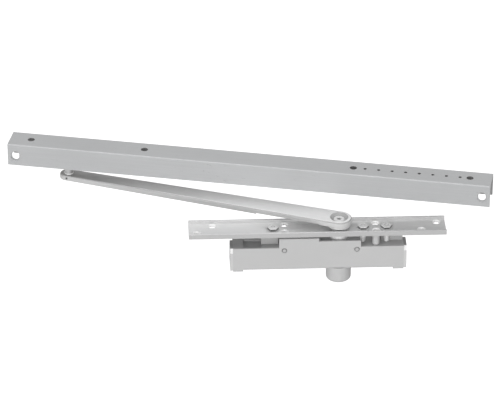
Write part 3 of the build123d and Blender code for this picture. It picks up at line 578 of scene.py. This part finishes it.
def in_dish(face):
    middle = face.calc_center_median()
    return from_axis(middle) < dish_radius and middle.z > dish_level


def on_arm_top(face):
    return face.normal.z > facing


def on_arm_round(face):
    return arm_round_start < face.normal.z <= facing


def in_socket(face):
    middle = face.calc_center_median()
    return from_axis(middle) < socket_reach and middle.z > arm_screw_top - socket_depth


def socket_floor(face):
    low = face.calc_center_median().z < arm_screw_top - 1.0 * mm
    return in_socket(face) and face.normal.z > level and low


# Each call: node, material, width of the broken edges in millimetres
# The caps' front bevels take a painted highlight, their tops painted shade
cap_faces = [("cap_bevel", on_front_bevel), ("cap_top", on_cap_top)]
dress("track_channel", "track", 0.55, more=[("track_inside_painted_shade", in_track), ("dark_hole", in_track_hole)])
dress("mounting_plate", "plate", 0.25, more=[
    ("plate_inside", in_flange), ("plate_front_painted_shade", on_plate_front), ("hole_wall_highlight", in_plate_hole),
])
dress("case_shell", "case", 0.25)
dress("left_end_cap", "caps", 0.30, more=cap_faces)
dress("right_end_cap", "caps", 0.30, more=cap_faces)
dress("cylinder_block", "block", 0.30, more=[("ear", on_ear)])
dress("lever_arm", "arm", 0.25, sharp=40.0, more=[
    ("arm_top", on_arm_top), ("arm_round", on_arm_round), ("dish", in_dish),
])
dress("upper_bearing_cap", "collar", 0.15, edge="steel_edge")
dress("closing_valve_sleeve", "sleeve", 0.15, edge="steel_edge")
dress("latching_valve_sleeve", "sleeve", 0.15, edge="steel_edge")
dress("arm_stud", "steel", 0.12, more=[("stud_rim", on_stud_rim)])
dress("spindle_boss", "boss", 0.20)
dress("case_pins", "pin", 0.40)
# The screw's socket takes the painted highlight, its floor the painted shade
dress("arm_screw", "zinc", 0.15, more=[("collar", in_socket), ("dark_hole", socket_floor)])


# Screws: heads from the model, shanks with a real thread

screw_places = (-74.0 * mm, 27.0 * mm, 53.2 * mm)
screw_head = 3.0 * mm
screw_edge = 0.15 * mm
screw_sharp = 25.0
thread_crest = 3.28 * mm
thread_depth = 0.55 * mm
thread_pitch = 1.0 * mm
thread_runout = 0.1 * mm
thread_overlap = 0.5 * mm
thread_around = 28
thread_rows = 6


def thread(shape, x, low, high):
    rows = int((high - low) / thread_pitch * thread_rows)
    rings = []
    for row in range(rows + 1):
        z = low + (high - low) * row / rows
        ring = []
        for step in range(thread_around):
            angle = 2 * math.pi * step / thread_around
            phase = ((z - low) / thread_pitch - step / thread_around) % 1.0
            ridge = 1 - abs(2 * phase - 1)
            radius = thread_crest - thread_depth * (1 - ridge)
            ring.append(shape.verts.new((x + radius * math.cos(angle), radius * math.sin(angle), z)))
        rings.append(ring)
    for lower, upper in zip(rings, rings[1:]):
        for step in range(thread_around):
            after = (step + 1) % thread_around
            shape.faces.new((lower[step], lower[after], upper[after], upper[step]))
    shape.faces.new(list(reversed(rings[0])))
    shape.faces.new(rings[-1])


def body_screws():
    low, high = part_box("body_screws")
    seat = high.z - screw_head
    shape = cleaned("body_screws")
    cut = shape.verts[:] + shape.edges[:] + shape.faces[:]
    bmesh.ops.bisect_plane(
        shape, geom=cut, plane_co=(0, 0, seat), plane_no=(0, 0, 1), clear_inner=True
    )
    rims = [edge for edge in shape.edges if edge.is_boundary]
    bmesh.ops.holes_fill(shape, edges=rims)
    broken_edges(shape, screw_edge, screw_sharp)
    slots = ["zinc", "zinc_edge", "zinc_side_painted_shade"]
    # The heads' upright sides take the painted shade
    for face in shape.faces:
        if abs(face.normal.z) < upright and face.material_index == 0:
            face.material_index = slots.index("zinc_side_painted_shade")
    for x in screw_places:
        thread(shape, x, low.z + thread_runout, seat + thread_overlap)
    make_piece("body_screws_threaded", shape, "closer", slots, "body_screws")


body_screws()


# Closing spring: the model's wound coil, welded, smooth shaded and left where the model puts it; in
# the closer its coils close up between the seat on the body and the end of the piston


def closing_spring():
    shape = welded("closing_spring")
    piece = make_piece("closing_spring_wound", shape, None, ["spring"], "closing_spring", smooth=60.0)
    piece.modifiers.clear()
    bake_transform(piece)


closing_spring()


# Studio

# Camera of the photograph
camera_place = Vector((-219.35, -3099.99, 1868.74)) * mm
camera_target = Vector((-99.08, 16.33, 70.37)) * mm
camera_lens = 231.69
camera_sensor = 36.0

# Lamps: name, place, size, power, whether it shows in the metal. Only the glint does, and no
# level top mirrors it seen from behind or above: so the front edges shine and pale tops don't
# clip to white
lamps = [
    ("glint", (-0.2, -1.5, 2.6), (3.0, 0.8), 14.0, True),
    ("key", (-1.4, -2.7, 0.55), (3.6, 1.2), 78.0, False),
    ("top", (-0.2, 0.3, 2.4), (3.6, 3.6), 34.0, False),
    ("fill", (1.9, -1.7, 0.5), (1.8, 1.0), 10.0, False),
    ("back", (0.4, 2.6, 0.9), (3.2, 1.4), 12.0, False),
]

# Strength of the world: as light, and what is added where the metal mirrors it
world_light = 0.26
world_mirrored = 0.38

floor_drop = 60.0 * mm
floor_size = 60.0
floor_tone = 0.60
floor_lift = 0.70


def look_at(thing, place, target):
    thing.location = place
    thing.rotation_euler = (target - Vector(place)).to_track_quat("-Z", "Y").to_euler()
    bpy.context.scene.collection.objects.link(thing)


def area_light(name, place, size, power, mirrored):
    data = bpy.data.lights.new(name, "AREA")
    data.shape = "RECTANGLE"
    data.size, data.size_y = size
    data.energy = power
    light = bpy.data.objects.new(name, data)
    look_at(light, place, camera_target)
    light.visible_glossy = mirrored


def seen_directly(tree, paths):
    # 1 for what the camera sees, straight or through something, else 0
    shown = tree.nodes.new("ShaderNodeMath")
    shown.operation = "MAXIMUM"
    tree.links.new(paths.outputs["Is Camera Ray"], shown.inputs[0])
    tree.links.new(paths.outputs["Is Transmission Ray"], shown.inputs[1])
    return shown.outputs[0]


def surroundings():
    world = bpy.data.worlds.new("studio")
    bpy.context.scene.world = world
    world.use_nodes = True
    tree = world.node_tree
    background = tree.nodes["Background"]
    paths = tree.nodes.new("ShaderNodeLightPath")
    strength = spread(tree, seen_directly(tree, paths), world_light, 1.0)
    reflected = tree.nodes.new("ShaderNodeMath")
    reflected.operation = "MULTIPLY_ADD"
    reflected.inputs[1].default_value = world_mirrored
    tree.links.new(paths.outputs["Is Glossy Ray"], reflected.inputs[0])
    tree.links.new(strength, reflected.inputs[2])
    background.inputs["Color"].default_value = white
    tree.links.new(reflected.outputs[0], background.inputs["Strength"])


def floor():
    # A white sweep: what the camera sees of it is lifted to white, and the shadow stays on it
    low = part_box("spindle_boss")[0].z - floor_drop
    bpy.ops.mesh.primitive_plane_add(size=floor_size, location=(0, 0, low))
    plane = bpy.context.object
    plane.name = "floor"
    material = bpy.data.materials.new("floor")
    material.use_nodes = True
    tree = material.node_tree
    shader = tree.nodes["Principled BSDF"]
    shader.inputs["Base Color"].default_value = grey(floor_tone)
    shader.inputs["Roughness"].default_value = 0.95
    shader.inputs["Specular IOR Level"].default_value = 0.0
    shader.inputs["Emission Color"].default_value = white
    shown = seen_directly(tree, tree.nodes.new("ShaderNodeLightPath"))
    tree.links.new(spread(tree, shown, 0.0, floor_lift), shader.inputs["Emission Strength"])
    # Seen from below the floor isn't there
    side = tree.nodes.new("ShaderNodeNewGeometry")
    clear = tree.nodes.new("ShaderNodeBsdfTransparent")
    either = tree.nodes.new("ShaderNodeMixShader")
    tree.links.new(side.outputs["Backfacing"], either.inputs[0])
    tree.links.new(shader.outputs[0], either.inputs[1])
    tree.links.new(clear.outputs[0], either.inputs[2])
    tree.links.new(either.outputs[0], tree.nodes["Material Output"].inputs["Surface"])
    plane.data.materials.append(material)


def camera():
    data = bpy.data.cameras.new("camera")
    data.lens = camera_lens
    data.sensor_width = camera_sensor
    data.clip_end = 100.0
    view = bpy.data.objects.new("camera", data)
    look_at(view, camera_place, camera_target)
    bpy.context.scene.camera = view


for lamp in lamps:
    area_light(*lamp)
surroundings()
floor()
camera()
bpy.context.scene.view_settings.view_transform = "Standard"
